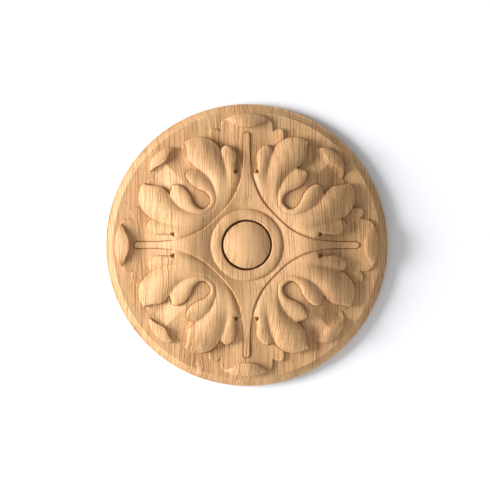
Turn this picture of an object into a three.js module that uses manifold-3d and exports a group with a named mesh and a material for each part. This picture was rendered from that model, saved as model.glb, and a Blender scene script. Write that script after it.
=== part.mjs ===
// A carved wooden rosette, cut from one board: a turned disc with a bevelled rim, four acanthus leaves on
// the diagonals, the tips of four more on the axes behind them, a four-armed strap between the leaves, and a
// ring moulding round a domed button in the middle. Its flat back is fixed to a wall, a door or furniture.
// Millimetres, +Z up. The carving faces -Y, and the origin is the middle of the back.
import * as THREE from 'three';
import Module from 'manifold-3d';

const wasm = await Module();
wasm.setup();

// The disc. Heights are above the back, and rises are above the ground that the carving stands on.
const discDiameter = 150;
const groundHeight = 8.4;
const groundFall = 1;
const quirkDepth = 0.5;
const bevelWidth = 3;
const bevelFall = 2.1;
const rimRounding = 0.9;
const rimRoundingFall = 0.74;

// The leaves on the diagonals. The crest of a rolled tip sags from its middle to its two corners.
const leafRise = 12;
const leafEdgeRise = 5.4;
const leafRootFall = 4;
const firstValleyDepth = 0.9;
const secondValleyDepth = 1.9;
const valleyRootDepth = 0.1;
const sideLobeSink = 2.7;
const smallLobeFall = 0.7;
const lobeEndFall = 0.7;
const leafEyeRise = 9.6;
const leafHollowRise = 3.2;
const leafCrestRise = 4.8;
const leafCrestSag = 2.4;
const leafLip = 1.6;
const leafTipRise = 2.4;
const drilledEyeDiameter = 2.4;
const drilledEyeDepth = 3;

// The leaf tips on the axes.
const axisValleyFall = 1.2;
const axisCrestRise = 5.5;
const axisCrestSag = 4.3;
const axisLip = 3.3;
const axisTipRise = 2.8;

// The strap and its four stems.
const strapRise = 11.9;
const strapRootFall = 2.4;
const stemRise = 3;
const stemWidth = 3.2;
const stemStand = 0.8;
const strapGroove = 2;

// The ring moulding and the button inside it.
const ringDiameter = 37.6;
const ringWidth = 5.4;
const ringRise = 10.8;
const ringOuterRounding = 3;
const ringEdgeFall = 1.1;
const ringInnerRounding = 0.6;
const buttonGrooveRise = 5;
const buttonDiameter = 24.6;
const buttonRise = 13.6;
const buttonEdgeRise = 10.3;

// Fineness of the facets.
const discSides = 72;
const bossSides = 36;
const drillSides = 6;
const roundSteps = 3;
const valleySteps = 7;
const strapSteps = 9;
const halves = [0, 0.5, 1];
const thirds = [0, 0.33, 0.67, 1];
const quarterShares = [0, 0.25, 0.5, 0.75, 1];
const frontShares = [0, 0.45, 0.83, 0.92, 1];
const tipShares = [0, 0.55, 1];

const radius = discDiameter / 2;
const footHeight = groundHeight / 2;
const lobeOverlap = 0.4;
const tiny = 1e-6;
const wood = { color: 0xd3a472, roughness: 0.6, metalness: 0 };

// Places across the carving are shares of the disc's radius, on the half leaf between the upright axis and
// the diagonal. Radii, and the spans of radii over which a height changes, are shares of it too.
const leafPeak = 0.44;
const leafOuter = 0.8;
const leafInner = 0.26;
const strapPeak = 0.42;
const groundPeak = 0.65;
const stemEnd = 0.797;
const sinkSpan = [0.44, 0.74];
const firstValleySpan = [0.36, 0.62];
const secondValleySpan = [0.28, 0.64];
const strapGrooveSpan = [0.46, 0.6];
const lobeOuterSpan = [0.7, 0.84];
const lobeInnerSpan = [0.66, 0.78];
const foldSpan = [0.52, 0.84];
const hollowSpan = [0.5, 0.84];
const strapSpan = [strapPeak, 0.745];
const foldReach = 0.11;

// Slopes, and places that are shares of a form's own size.
const leafFold = 0.62;
const coveStart = 0.83;
const coveFade = 1.25;
const sideLobeCrest = 0.52;
const bigLobeCrest = 0.58;
const smallLobeCrest = 0.66;

const sideTip = [0.148, 0.705];
const notchOne = [0.179, 0.648];
const bigTip = [0.436, 0.729];
const notchTwo = [0.352, 0.543];
const smallTip = [0.423, 0.515];
const leafletNotch = [0.47, 0.668];
const tipCorner = [0.52, 0.686];
const axisCorner = [0.156, 0.891];
const axisNotch = [0.186, 0.803];
const drilledEye = [0.073, 0.52];
const strapRoot = [0.14, 0.12];
const stemRows = [0.66, 0.7, 0.75];

const underStrap = [[0.175, 0.19], [0.095, 0.31], [0.053, 0.4], [0.036, 0.48], [0.066, 0.53]];
const sideLobeOuter = [[0.066, 0.53], [0.079, 0.565], [0.074, 0.61], [0.08, 0.653], [0.111, 0.692], sideTip];
const sideLobeInner = [notchOne, [0.182, 0.668], [0.172, 0.69], sideTip];
const bigLobeOuter = [notchOne, [0.205, 0.698], [0.25, 0.739], [0.31, 0.76], [0.375, 0.759], bigTip];
const bigLobeInner = [notchTwo, [0.391, 0.577], [0.415, 0.617], [0.421, 0.68], bigTip];
const smallLobeOuter = [notchTwo, [0.385, 0.536], [0.41, 0.529], smallTip];
const smallLobeInner = [
  [0.29, 0.262],
  [0.258, 0.288],
  [0.258, 0.335],
  [0.297, 0.376],
  [0.345, 0.396],
  [0.4, 0.437],
  [0.427, 0.484],
  smallTip,
];
const valleyOne = [[0.225, 0.19], [0.158, 0.33], [0.145, 0.43], [0.148, 0.54], notchOne];
const valleyTwo = [[0.268, 0.22], [0.22, 0.276], [0.214, 0.35], [0.24, 0.432], [0.29, 0.497], notchTwo];
const leaflet = [[0.4, 0.7], [0.436, 0.706], [0.455, 0.7], leafletNotch];
const tipShoulder = [leafletNotch, [0.492, 0.682], tipCorner];
const tipCrest = [tipCorner, [0.548, 0.65], [0.567, 0.612], [0.585, 0.585]];
const tipOuter = [tipCorner, [0.556, 0.69], [0.603, 0.671], [0.641, 0.641]];
const leafEye = [[0.3, 0.62], [0.33, 0.48], [0.25, 0.36], [0.24, 0.24]];
const axisCrest = [[0, 0.835], [0.05, 0.84], [0.1, 0.863], axisCorner];
const axisOuter = [[0, 0.93], [0.06, 0.926], [0.11, 0.91], axisCorner];
const axisSide = [axisCorner, [0.18, 0.86], axisNotch];
const axisLobe = [axisNotch, [0.21, 0.818], [0.25, 0.819], [0.263, 0.78], [0.258, 0.72]];
const axisRoot = [[0, 0.45], [0.06, 0.46], [0.12, 0.5], [0.18, 0.58]];
const strapEdge = [[0.0225, 0.62], [0.035, 0.5], [0.062, 0.4], [0.113, 0.305], [0.203, 0.203]];

const leafCorner = (tipCorner[1] - tipCorner[0]) / Math.SQRT2;

// A place given as shares of the disc's radius.
const placeAt = ([x, y]) => new THREE.Vector2(x * radius, y * radius);

// How far a place lies from the middle, from the diagonal and from the upright axis, as shares of the radius.
const shareOf = (x, y) => Math.hypot(x, y) / radius;
const fromDiagonal = (x, y) => Math.abs(x - y) / Math.SQRT2 / radius;
const fromAxis = (x) => Math.abs(x) / radius;

// A row of points along smooth curves laid end to end, each given with the number of its steps.
function along(...curves) {
  const row = [];
  for (const [points, steps] of curves) {
    const next = new THREE.SplineCurve(points.map(placeAt)).getSpacedPoints(steps);
    row.push(...(row.length ? next.slice(1) : next));
  }
  return row;
}

// A row that ends on the diagonal, carried on as its own mirror image.
function acrossDiagonal(row) {
  return [...row, ...row.slice(0, -1).reverse().map((p) => new THREE.Vector2(p.y, p.x))];
}

// A row that starts on the upright axis, led in by its own mirror image.
function acrossAxis(row) {
  return [...row.slice(1).reverse().map((p) => new THREE.Vector2(-p.x, p.y)), ...row];
}

// A value that eases from one level to another over a span of radii.
function ramp(share, span, low, high) {
  return low + (high - low) * THREE.MathUtils.smoothstep(share, ...span);
}

// A solid from its points and its triangles.
function solidOf(points, triangles) {
  const mesh = new wasm.Mesh({
    numProp: 3,
    vertProperties: new Float32Array(points.flat()),
    triVerts: new Uint32Array(triangles.flat()),
  });
  return new wasm.Manifold(mesh);
}

// A closed solid between two rows of as many points, from the middle of the board up to a height that is a
// function of the place and of how far across it lies. Its points stand at the given shares of the way
// across, and it may reach past each row, to run into its neighbour.
function between(left, right, shares, rise, reach = () => 0) {
  const points = [];
  const index = [];
  for (let i = 0; i < left.length; i++) {
    const width = left[i].distanceTo(right[i]);
    const past = width > 0 ? reach(i) / width : 0;
    const row = [];
    for (const across of [-past, ...shares, 1 + past]) {
      const { x, y } = left[i].clone().lerp(right[i], across);
      const last = points[points.length - 1];
      const moved = row.length === 0 || Math.hypot(x - last[0], y - last[1]) > tiny;
      if (moved) points.push([x, y, groundHeight + rise(x, y, across)], [x, y, footHeight]);
      row.push(points.length - 2);
    }
    index.push(row);
  }
  const columns = shares.length + 1;
  const triangles = [];
  const quad = (a, b, c, d) => {
    for (const t of [[a, b, c], [a, c, d]]) {
      if (t[0] !== t[1] && t[1] !== t[2] && t[2] !== t[0]) triangles.push(t);
    }
  };
  for (let i = 1; i < index.length; i++) {
    const [a, b] = [index[i - 1], index[i]];
    for (let j = 1; j <= columns; j++) {
      quad(a[j - 1], a[j], b[j], b[j - 1]);
      quad(a[j - 1] + 1, b[j - 1] + 1, b[j] + 1, a[j] + 1);
    }
    quad(a[0], b[0], b[0] + 1, a[0] + 1);
    quad(a[columns], a[columns] + 1, b[columns] + 1, b[columns]);
  }
  const [first, last] = [index[0], index[index.length - 1]];
  for (let j = 1; j <= columns; j++) {
    quad(first[j - 1], first[j - 1] + 1, first[j] + 1, first[j]);
    quad(last[j - 1], last[j], last[j] + 1, last[j - 1] + 1);
  }
  const made = solidOf(points, triangles);
  return made.volume() > 0 ? made : solidOf(points, triangles.map(([a, b, c]) => [a, c, b]));
}

// A turned solid from its profile of [radius, height] pairs, about +Z, which starts and ends on the axis.
function turned(profile, sides) {
  const ends = [[0, 0, profile[0][1]], [0, 0, profile[profile.length - 1][1]]];
  const rings = profile.slice(1, -1);
  const points = [...ends];
  for (const [r, z] of rings) {
    for (let i = 0; i < sides; i++) {
      const angle = (2 * Math.PI * i) / sides;
      points.push([r * Math.cos(angle), r * Math.sin(angle), z]);
    }
  }
  const at = (ring, i) => ends.length + ring * sides + (i % sides);
  const triangles = [];
  for (let i = 0; i < sides; i++) {
    triangles.push([0, at(0, i + 1), at(0, i)], [1, at(rings.length - 1, i), at(rings.length - 1, i + 1)]);
    for (let ring = 1; ring < rings.length; ring++) {
      triangles.push([at(ring - 1, i), at(ring - 1, i + 1), at(ring, i + 1)]);
      triangles.push([at(ring - 1, i), at(ring, i + 1), at(ring, i)]);
    }
  }
  return solidOf(points, triangles);
}

// A quarter of an ellipse from its outside round to its top, in steps, as [radius, height] pairs.
function quarterRound(outside, top, width, fall) {
  return Array.from({ length: roundSteps + 1 }, (_, i) => {
    const angle = (Math.PI / 2) * (i / roundSteps);
    return [outside - width * (1 - Math.cos(angle)), top - fall * (1 - Math.sin(angle))];
  });
}

// The leaves' swell from the middle outwards.
function leafSwell(share) {
  const root = leafRootFall * ((leafPeak - share) / (leafPeak - leafInner)) ** 2;
  const end = (leafRise - leafEdgeRise) * ((share - leafPeak) / (leafOuter - leafPeak)) ** 2;
  return leafRise - (share < leafPeak ? root : end);
}

// The strap's swell, down to the ends of its stems.
function strapSwell(share) {
  const root = strapRootFall * ((strapPeak - share) / (strapPeak - leafInner)) ** 2;
  return share < strapPeak ? strapRise - root : ramp(share, strapSpan, strapRise, stemRise);
}

// How far a lobe's crown has fallen at a place across it, from a crest that lies off its middle.
function crown(across, crest, leftFall, rightFall) {
  if (across < crest) return leftFall * ((crest - across) / crest) ** 2;
  return rightFall * ((across - crest) / (1 - crest)) ** 2;
}

// Half of a leaf is three lobes side by side. The side lobe and the small one each share a valley with the
// big one.
const sideSink = (share) => ramp(share, sinkSpan, 0, sideLobeSink);
const firstValley = (share) => ramp(share, firstValleySpan, 0, firstValleyDepth);
const secondValley = (share) => ramp(share, secondValleySpan, valleyRootDepth, secondValleyDepth);

function lobe(left, right, shares, rise) {
  const reach = (i) => (i < valleySteps ? lobeOverlap : 0);
  return between(left, right, shares, (x, y, across) => rise(shareOf(x, y), across), reach);
}

function sideLobe() {
  const left = along([underStrap, 4], [sideLobeOuter, 7]);
  const right = along([valleyOne, valleySteps], [sideLobeInner, 4]);
  return lobe(left, right, thirds, (share, across) => {
    const toStrap = ramp(share, strapGrooveSpan, strapGroove, smallLobeFall);
    return leafSwell(share) - sideSink(share) - crown(across, sideLobeCrest, toStrap, firstValley(share));
  });
}

function bigLobe() {
  const left = along([valleyOne, valleySteps], [bigLobeOuter, 7]);
  const right = along([valleyTwo, valleySteps], [bigLobeInner, 7]);
  return lobe(left, right, quarterShares, (share, across) => {
    const outward = ramp(share, lobeOuterSpan, sideSink(share) + firstValley(share), lobeEndFall);
    const inward = ramp(share, lobeInnerSpan, secondValley(share), secondValleyDepth / 2);
    return leafSwell(share) - crown(across, bigLobeCrest, outward, inward);
  });
}

function smallLobe() {
  const left = along([valleyTwo, valleySteps], [smallLobeOuter, 3]);
  const right = along([smallLobeInner, 10]);
  return lobe(left, right, thirds, (share, across) => {
    return leafSwell(share) - crown(across, smallLobeCrest, secondValley(share), smallLobeFall);
  });
}

// The crest of a rolled tip at a distance aside of its middle.
function crestHeight(aside, corner, crestRise, crestSag) {
  return crestRise - crestSag * Math.min(aside / corner, 1) ** 2;
}

const leafCrestHeight = (x, y) => crestHeight(fromDiagonal(x, y), leafCorner, leafCrestRise, leafCrestSag);
const axisCrestHeight = (x) => crestHeight(fromAxis(x), axisCorner[0], axisCrestRise, axisCrestSag);

// The face before a rolled tip, which rises from the hollow towards a lip between the tip's two corners.
function coved(hollow, across, aside, corner, lip) {
  const near = Math.max(0, (across - coveStart) / (1 - coveStart));
  return hollow + Math.max(0, ramp(aside, [corner, coveFade * corner], lip - hollow, 0)) * near ** 2;
}

// A rolled tip, level at its crest and steeper towards its outer edge.
function rolled(crest, outer, top, edgeRise) {
  return between(crest, outer, tipShares, (x, y, across) => {
    return top(x, y) - Math.max(0, top(x, y) - edgeRise) * across ** 2;
  });
}

// The front of a leaf, from the eye between its small lobes to the rolled tip, folded along the diagonal.
function leafFront() {
  const outer = acrossDiagonal(along([leaflet, 4], [tipShoulder, 1], [tipCrest, 4]));
  const inner = acrossDiagonal(along([leafEye, 9]));
  return between(inner, outer, frontShares, (x, y, across) => {
    const aside = fromDiagonal(x, y);
    const folded = Math.min(aside, foldReach);
    const slope = ramp(shareOf(x, y), foldSpan, 0, leafFold * radius);
    const fold = slope * folded * (1 - folded / (2 * foldReach));
    const hollow = ramp(shareOf(x, y), hollowSpan, leafEyeRise, leafHollowRise) - fold;
    return coved(hollow, across, aside, leafCorner, leafCrestHeight(x, y) - leafLip);
  });
}

function leafTip() {
  const crest = acrossDiagonal(along([tipCrest, 4]));
  const outer = acrossDiagonal(along([tipOuter, 4]));
  return rolled(crest, outer, leafCrestHeight, leafTipRise);
}

// The leaf on an axis, which follows the stem outwards in a wave and rises to the crest of its tip.
function axisLeaf() {
  const outer = acrossAxis(along([axisCrest, 4], [axisSide, 2], [axisLobe, 5]));
  const inner = acrossAxis(along([axisRoot, 11]));
  return between(inner, outer, frontShares, (x, y, across) => {
    const wave = (1 - Math.cos((Math.PI * fromAxis(x)) / axisNotch[0])) / 2;
    const hollow = strapSwell(shareOf(x, y)) - stemStand - axisValleyFall * wave;
    return coved(hollow, across, fromAxis(x), axisCorner[0], axisCrestHeight(x) - axisLip);
  });
}

function axisTip() {
  const crest = acrossAxis(along([axisCrest, 4]));
  const outer = acrossAxis(along([axisOuter, 4]));
  return rolled(crest, outer, axisCrestHeight, axisTipRise);
}

// One arm of the strap, out to the round end of its stem.
function strapArm() {
  const half = stemWidth / 2;
  const end = quarterRound(half, stemEnd * radius, half, half).map(([x, y]) => new THREE.Vector2(x, y));
  end[end.length - 1].x = 0;
  const stem = stemRows.map((y) => new THREE.Vector2(half, y * radius));
  const right = [placeAt(strapRoot), ...along([strapEdge, strapSteps]).reverse(), ...stem, ...end];
  const left = right.map((p) => new THREE.Vector2(-p.x, p.y));
  return between(left, right, halves, (x, y) => strapSwell(shareOf(x, y)));
}

// The disc, whose ground falls a little towards the quirk and the bevel.
function disc() {
  const bevelOuter = radius - rimRounding;
  const bevelInner = bevelOuter - bevelWidth;
  const quirkTop = groundHeight - groundFall;
  const bevelTop = quirkTop - quirkDepth;
  return turned(
    [
      [0, 0],
      [radius, 0],
      [radius, bevelTop - bevelFall - rimRoundingFall],
      [bevelOuter, bevelTop - bevelFall],
      [bevelInner, bevelTop],
      [bevelInner, quirkTop],
      [groundPeak * radius, groundHeight],
      [0, groundHeight],
    ],
    discSides,
  );
}

// The ring moulding, rounded down on its outside, and the domed button in a groove inside it.
function boss() {
  const outer = ringDiameter / 2;
  const inner = outer - ringWidth;
  const button = buttonDiameter / 2;
  const groove = groundHeight + buttonGrooveRise;
  const top = groundHeight + ringRise;
  const rounded = quarterRound(outer, top, ringOuterRounding, ringEdgeFall);
  const inside = [[inner + ringInnerRounding, top], [inner, top - ringInnerRounding], [inner, groove]];
  const cap = buttonRise - buttonEdgeRise;
  const bend = (button ** 2 + cap ** 2) / (2 * cap);
  const dome = Array.from({ length: roundSteps + 1 }, (_, i) => {
    const angle = Math.asin(button / bend) * (1 - i / roundSteps);
    return [bend * Math.sin(angle), groundHeight + buttonRise - bend * (1 - Math.cos(angle))];
  });
  const profile = [[0, footHeight], [outer, footHeight], ...rounded, ...inside, [button, groove], ...dome];
  return turned(profile, bossSides);
}

// The middle, cleared of the strap under half of the ring's width.
function middleCut() {
  const reach = (ringDiameter - ringWidth) / 2;
  const top = groundHeight + strapRise;
  return turned([[0, 0], [reach, 0], [reach, top], [0, top]], bossSides);
}

// The small drilled eye beside a side lobe, to the right or to the left of the axis.
function drilled(side) {
  const eye = placeAt(drilledEye);
  const deep = groundHeight + leafSwell(drilledEye[1]) - drilledEyeDepth;
  const reach = drilledEyeDiameter / 2;
  const bit = turned([[0, deep], [reach, deep], [reach, deep + leafRise], [0, deep + leafRise]], drillSides);
  return bit.translate([side * eye.x, eye.y, 0]);
}

// What repeats at each quarter turn.
function quarters(made) {
  return [0, 90, 180, 270].flatMap((angle) => made.map((piece) => piece.rotate([0, 0, angle])));
}

function rosette() {
  const lobes = [sideLobe(), bigLobe(), smallLobe()];
  const others = lobes.map((piece) => piece.mirror([1, -1, 0]));
  const leaves = quarters([...lobes, ...others, leafFront(), leafTip(), axisLeaf(), axisTip()]);
  const strap = wasm.Manifold.union(quarters([strapArm()])).subtract(middleCut());
  const body = wasm.Manifold.union([disc(), ...leaves, strap, boss()]);
  return body.subtract(wasm.Manifold.union(quarters([drilled(-1), drilled(1)])));
}

function geometryOf(made) {
  const mesh = made.getMesh();
  const geometry = new THREE.BufferGeometry();
  geometry.setAttribute('position', new THREE.BufferAttribute(new Float32Array(mesh.vertProperties), 3));
  geometry.setIndex(new THREE.BufferAttribute(new Uint32Array(mesh.triVerts), 1));
  geometry.computeVertexNormals();
  return geometry;
}

const mesh = new THREE.Mesh(geometryOf(rosette()), new THREE.MeshStandardMaterial(wood));
mesh.name = 'rosette';
mesh.rotation.x = Math.PI / 2;

const part = new THREE.Group();
part.add(mesh);

export default part;
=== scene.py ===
import math

import bpy
import numpy as np
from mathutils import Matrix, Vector, noise
from mathutils.geometry import delaunay_2d_cdt


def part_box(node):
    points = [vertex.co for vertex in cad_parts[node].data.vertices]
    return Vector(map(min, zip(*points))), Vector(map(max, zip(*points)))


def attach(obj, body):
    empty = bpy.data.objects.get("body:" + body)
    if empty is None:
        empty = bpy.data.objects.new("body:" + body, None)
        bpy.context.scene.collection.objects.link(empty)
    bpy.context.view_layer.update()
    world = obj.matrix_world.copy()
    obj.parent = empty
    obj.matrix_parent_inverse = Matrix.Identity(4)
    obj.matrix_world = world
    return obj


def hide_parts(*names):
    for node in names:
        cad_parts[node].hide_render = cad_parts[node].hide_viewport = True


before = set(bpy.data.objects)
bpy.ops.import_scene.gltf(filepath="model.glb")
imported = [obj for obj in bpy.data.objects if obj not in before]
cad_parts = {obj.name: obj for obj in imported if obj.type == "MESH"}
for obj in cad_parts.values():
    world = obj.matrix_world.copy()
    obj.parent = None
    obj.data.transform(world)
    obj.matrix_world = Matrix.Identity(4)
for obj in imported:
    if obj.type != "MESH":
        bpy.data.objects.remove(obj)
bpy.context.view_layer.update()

bl_info = {
    "name": "Carved rosette",
    "version": (1, 0, 0),
    "blender": (4, 5, 0),
    "location": "View3D > Sidebar > Rosette",
    "description": "Carves a wooden acanthus rosette over its solid and lights it on a wall",
    "category": "Add Mesh",
}

LOWEST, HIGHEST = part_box("rosette")
RADIUS = (HIGHEST.x - LOWEST.x) / 2

# Places across the carving are shares of the disc's radius, on the half leaf between the upright axis and the
# diagonal. The first number runs to the right and the second one up.
SIDE_TIP = (0.148, 0.705)
NOTCH_ONE = (0.179, 0.648)
BIG_TIP = (0.436, 0.729)
NOTCH_TWO = (0.352, 0.543)
SMALL_TIP = (0.423, 0.515)
LEAFLET_NOTCH = (0.47, 0.668)
TIP_CORNER = (0.52, 0.686)
AXIS_CORNER = (0.156, 0.891)
AXIS_NOTCH = (0.186, 0.803)
OUTLINES = {
    "under_strap": [(0.175, 0.19), (0.095, 0.31), (0.053, 0.4), (0.036, 0.48), (0.066, 0.53)],
    "side_lobe_outer": [
        (0.066, 0.53), (0.079, 0.565), (0.074, 0.61), (0.08, 0.653), (0.111, 0.692), SIDE_TIP,
    ],
    "side_lobe_inner": [NOTCH_ONE, (0.182, 0.668), (0.172, 0.69), SIDE_TIP],
    "big_lobe_outer": [NOTCH_ONE, (0.205, 0.698), (0.25, 0.739), (0.31, 0.76), (0.375, 0.759), BIG_TIP],
    "big_lobe_inner": [NOTCH_TWO, (0.391, 0.577), (0.415, 0.617), (0.421, 0.68), BIG_TIP],
    "small_lobe_outer": [NOTCH_TWO, (0.385, 0.536), (0.41, 0.529), SMALL_TIP],
    "small_lobe_inner": [
        (0.29, 0.262), (0.258, 0.288), (0.258, 0.335), (0.297, 0.376),
        (0.345, 0.396), (0.4, 0.437), (0.427, 0.484), SMALL_TIP,
    ],
    "valley_one": [(0.225, 0.19), (0.158, 0.33), (0.145, 0.43), (0.148, 0.54), NOTCH_ONE],
    "valley_two": [(0.268, 0.22), (0.22, 0.276), (0.214, 0.35), (0.24, 0.432), (0.29, 0.497), NOTCH_TWO],
    "leaflet": [(0.4, 0.7), (0.436, 0.706), (0.455, 0.7), LEAFLET_NOTCH],
    "tip_shoulder": [LEAFLET_NOTCH, (0.492, 0.682), TIP_CORNER],
    "tip_crest": [TIP_CORNER, (0.548, 0.65), (0.567, 0.612), (0.585, 0.585)],
    "tip_outer": [TIP_CORNER, (0.556, 0.69), (0.603, 0.671), (0.641, 0.641)],
    "leaf_eye": [(0.3, 0.62), (0.33, 0.48), (0.25, 0.36), (0.24, 0.24)],
    "axis_crest": [(0, 0.835), (0.05, 0.84), (0.1, 0.863), AXIS_CORNER],
    "axis_outer": [(0, 0.93), (0.06, 0.926), (0.11, 0.91), AXIS_CORNER],
    "axis_side": [AXIS_CORNER, (0.18, 0.86), AXIS_NOTCH],
    "axis_lobe": [AXIS_NOTCH, (0.21, 0.818), (0.25, 0.819), (0.263, 0.78), (0.258, 0.72)],
    "axis_root": [(0, 0.45), (0.06, 0.46), (0.12, 0.5), (0.18, 0.58)],
    "strap_edge": [(0.0225, 0.62), (0.035, 0.5), (0.062, 0.4), (0.113, 0.305), (0.203, 0.203)],
}
DRILLED_EYE = [(0.065, 0.513), (0.083, 0.514), (0.075, 0.532), (0.065, 0.513)]
EYE_TAIL = [(0.074, 0.53), (0.071, 0.565), (0.071, 0.6)]
STRAP_ROOT = (0.14, 0.12)
KNOT = (-0.355, -0.88)

# Outlines with a cut along their foot, and those that the mesh's points needn't follow.
LOBE_EDGES = (
    "side_lobe_inner", "big_lobe_outer", "big_lobe_inner", "small_lobe_outer", "small_lobe_inner",
)
CONSTRUCTION_LINES = ("leaf_eye", "axis_root", "strap_edge")

# Radii, and the spans of radii over which a height changes, are shares of the disc's radius too.
LEAF_INNER = 0.26
LEAF_PEAK = 0.44
LEAF_OUTER = 0.8
STRAP_PEAK = 0.42
STRAP_OUTER = 0.745
STEM_ROWS = (0.68, 0.72, 0.75)
STEM_END = 0.797
GROUND_PEAK = 0.55
FOLD_REACH = 0.11
WAVE_REACH = 0.3
SINK_SPAN = (LEAF_PEAK, 0.74)
FIRST_VALLEY_SPAN = (0.36, 0.62)
SECOND_VALLEY_SPAN = (0.28, 0.64)
STRAP_SPAN = (STRAP_PEAK, STRAP_OUTER)
STRAP_GROOVE_SPAN = (0.46, 0.6)
STRAP_WALL_SPAN = (0.45, 0.6)
STEM_GROOVE_SPAN = (0.5, 0.58)
SIDE_CREST_SPAN = (0.42, 0.58)
LOBE_OUTER_SPAN = (0.7, 0.84)
LOBE_INNER_SPAN = (0.66, 0.78)
FOLD_SPAN = (0.52, 0.84)
HOLLOW_SPAN = (0.5, 0.84)

# The crests of the lobes, as shares of the way across them.
SIDE_CREST_ROOT = 0.6
SIDE_CREST_TIP = 0.44
BIG_CREST = 0.58
SMALL_CREST = 0.66

# The mesh, in metres. Rows of points run beside each edge, and arcs follow the rim, the ring and the button.
ROW_GAPS = (0.0002, 0.00045, 0.0008)
ROW_SPACING = 0.00019
ROW_CLEARANCE = 0.85
BUTTON_WALL = 0.00015
RING_WALL = 0.0003
ONTO_SIDES = 0.00014
MERGED = 0.00001
TINY = 1e-9

# Shares of the rim's rounding, of the ring's inner rounding and of the ring's width that have an arc.
RIM_ARCS = (0.1, 0.3, 0.6)
RING_INNER_ARCS = (0.25, 0.5, 1)
RING_OUTER_ARCS = (0.04, 0.1, 0.2, 0.35)

# Angles: where the rim's rounding takes over from the bevel, and the sharpest edge that is shaded smooth.
RIM_START = 0.6
SMOOTH_ANGLE = math.radians(32)

# Sizes of the wood's patterns in metres: across the board, through it and along it.
WAVES = (0.025, 0.025, 0.06)
BANDS = (0.009, 0.03, 0.1)
ROSY_BANDS = (0.006, 0.02, 0.06)
LINE_DRIFT = (0.01, 0.02, 0.06)
LINE_STRENGTH = (0.0028, 0.012, 0.045)
STREAKS = (0.0005, 0.006, 0.022)
PORES = (0.0003, 0.0015, 0.003)
KNOT_SWIRL = (0.005, 0.005, 0.005)

# The knot's width as a share of its height, and how strongly it draws the grain in.
KNOT_SHAPE = 0.6
KNOT_PULL = 0.8

# Tones: how dark each mark is where it is darkest, and the palest and deepest of the bands.
LINE_DARKNESS = 0.6
STREAK_DARKNESS = 0.58
PORE_DARKNESS = 0.35
KNOT_RING_DARKNESS = 0.45
FAINTEST_LINE = 0.15
BAND_TONES = (0.86, 1.04)

# On the top of the button the marks fade between these places along Y, down to a share of their darkness.
BUTTON_FACE = (-0.0212, -0.0195)
BUTTON_MARKS = 0.35


def length(name, description, millimetres):
    """A length that the sidebar shows, given here in millimetres."""
    return bpy.props.FloatProperty(
        name=name, description=description, default=millimetres / 1000, precision=5, unit="LENGTH"
    )


def colour(name, description, value):
    return bpy.props.FloatVectorProperty(name=name, description=description, subtype="COLOR", default=value)


def angle(name, description, degrees):
    return bpy.props.FloatProperty(
        name=name, description=description, default=math.radians(degrees), subtype="ANGLE"
    )


def share(name, description, value):
    """A number without a unit."""
    return bpy.props.FloatProperty(name=name, description=description, default=value)


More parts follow.
